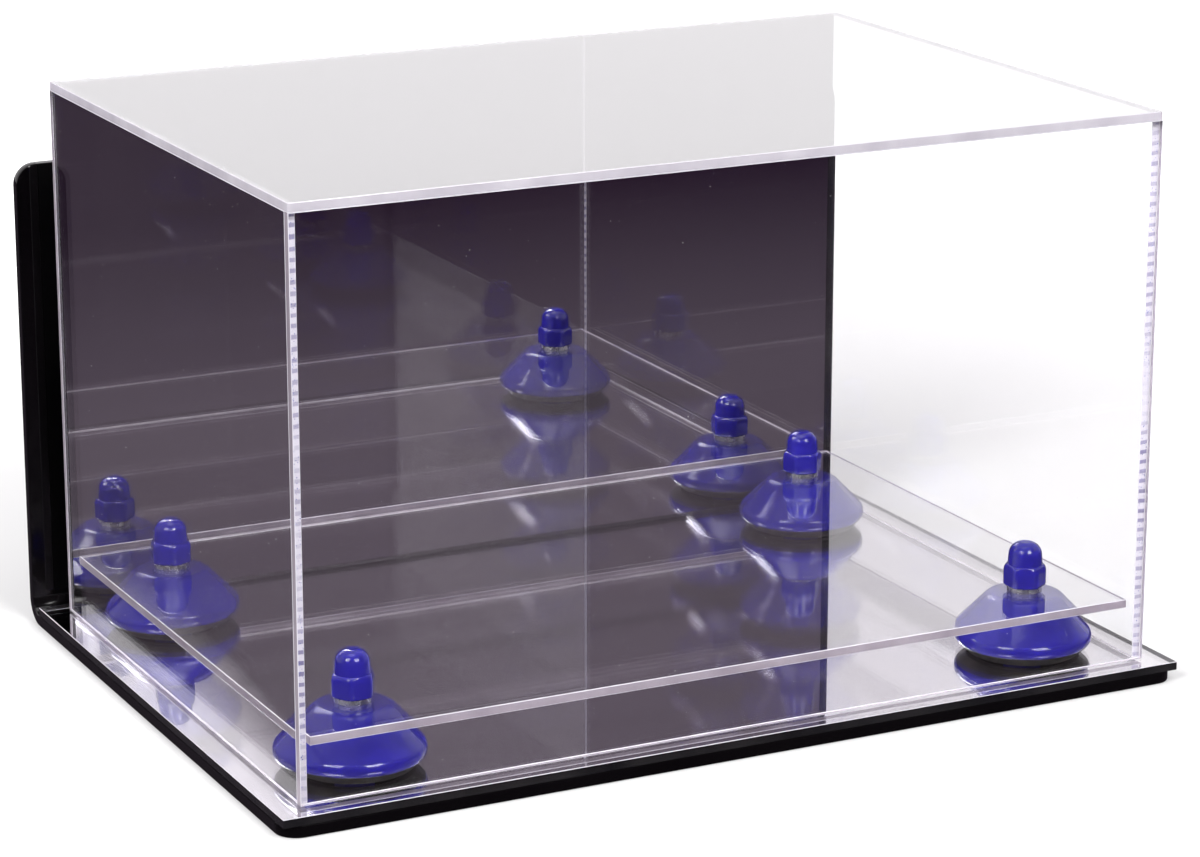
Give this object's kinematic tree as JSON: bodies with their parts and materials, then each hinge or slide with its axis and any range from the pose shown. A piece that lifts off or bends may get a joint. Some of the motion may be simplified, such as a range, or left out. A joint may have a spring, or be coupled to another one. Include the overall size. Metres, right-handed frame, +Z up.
{
  "type": "cap display case",
  "caption": "Wall or tabletop display case for one cap: clear lift-off cover with mirrored back, mirrored base, clear platform on dome risers, and a bent black wall bracket.",
  "frame": {"origin": "centre of the outer box at the bracket's underside, which stands on a table", "axes": "+X to the viewer's right along the long side, +Y to the wall, +Z up; the viewer stands at -Y"},
  "size_m": [0.328, 0.239, 0.197],
  "materials": {
    "black_acrylic": "polished black sheet",
    "mirror_acrylic": "mirrored sheet",
    "clear_acrylic": "clear polished sheet",
    "blue_plastic": "glossy moulded plastic",
    "zinc_steel": "zinc plated"
  },
  "bodies": {
    "base": {"wall_bracket": "black_acrylic", "base_mirror": "mirror_acrylic", "riser_platform": "clear_acrylic", "riser_front_left": "blue_plastic", "screw_front_left": "zinc_steel", "washer_front_left": "zinc_steel", "riser_front_right": "blue_plastic", "screw_front_right": "zinc_steel", "washer_front_right": "zinc_steel", "riser_back_left": "blue_plastic", "screw_back_left": "zinc_steel", "washer_back_left": "zinc_steel", "riser_back_right": "blue_plastic", "screw_back_right": "zinc_steel", "washer_back_right": "zinc_steel"},
    "cover": {"cover_front": "clear_acrylic", "cover_left": "clear_acrylic", "cover_right": "clear_acrylic", "cover_mirror_back": "mirror_acrylic", "cover_top": "clear_acrylic"},
    "nut_front_left": {"nut_front_left": "zinc_steel"},
    "nut_cap_front_left": {"nut_cap_front_left": "blue_plastic"},
    "nut_front_right": {"nut_front_right": "zinc_steel"},
    "nut_cap_front_right": {"nut_cap_front_right": "blue_plastic"},
    "nut_back_left": {"nut_back_left": "zinc_steel"},
    "nut_cap_back_left": {"nut_cap_back_left": "blue_plastic"},
    "nut_back_right": {"nut_back_right": "zinc_steel"},
    "nut_cap_back_right": {"nut_cap_back_right": "blue_plastic"}
  },
  "joints": [
    {"name": "cover_lift", "type": "slide", "parent": "base", "child": "cover", "axis": [0, 0, 1], "range_m": [0, 0.25]},
    {"name": "nut_turn_front_left", "type": "hinge", "parent": "base", "child": "nut_front_left", "pos_m": [-0.125, -0.08195, 0.0322], "axis": [0, 0, 1], "continuous": true},
    {"name": "nut_cap_pull_front_left", "type": "slide", "parent": "nut_front_left", "child": "nut_cap_front_left", "axis": [0, 0, 1], "range_m": [0, 0.03]},
    {"name": "nut_turn_front_right", "type": "hinge", "parent": "base", "child": "nut_front_right", "pos_m": [0.125, -0.08195, 0.0322], "axis": [0, 0, 1], "continuous": true},
    {"name": "nut_cap_pull_front_right", "type": "slide", "parent": "nut_front_right", "child": "nut_cap_front_right", "axis": [0, 0, 1], "range_m": [0, 0.03]},
    {"name": "nut_turn_back_left", "type": "hinge", "parent": "base", "child": "nut_back_left", "pos_m": [-0.125, 0.07305, 0.0322], "axis": [0, 0, 1], "continuous": true},
    {"name": "nut_cap_pull_back_left", "type": "slide", "parent": "nut_back_left", "child": "nut_cap_back_left", "axis": [0, 0, 1], "range_m": [0, 0.03]},
    {"name": "nut_turn_back_right", "type": "hinge", "parent": "base", "child": "nut_back_right", "pos_m": [0.125, 0.07305, 0.0322], "axis": [0, 0, 1], "continuous": true},
    {"name": "nut_cap_pull_back_right", "type": "slide", "parent": "nut_back_right", "child": "nut_cap_back_right", "axis": [0, 0, 1], "range_m": [0, 0.03]}
  ]
}
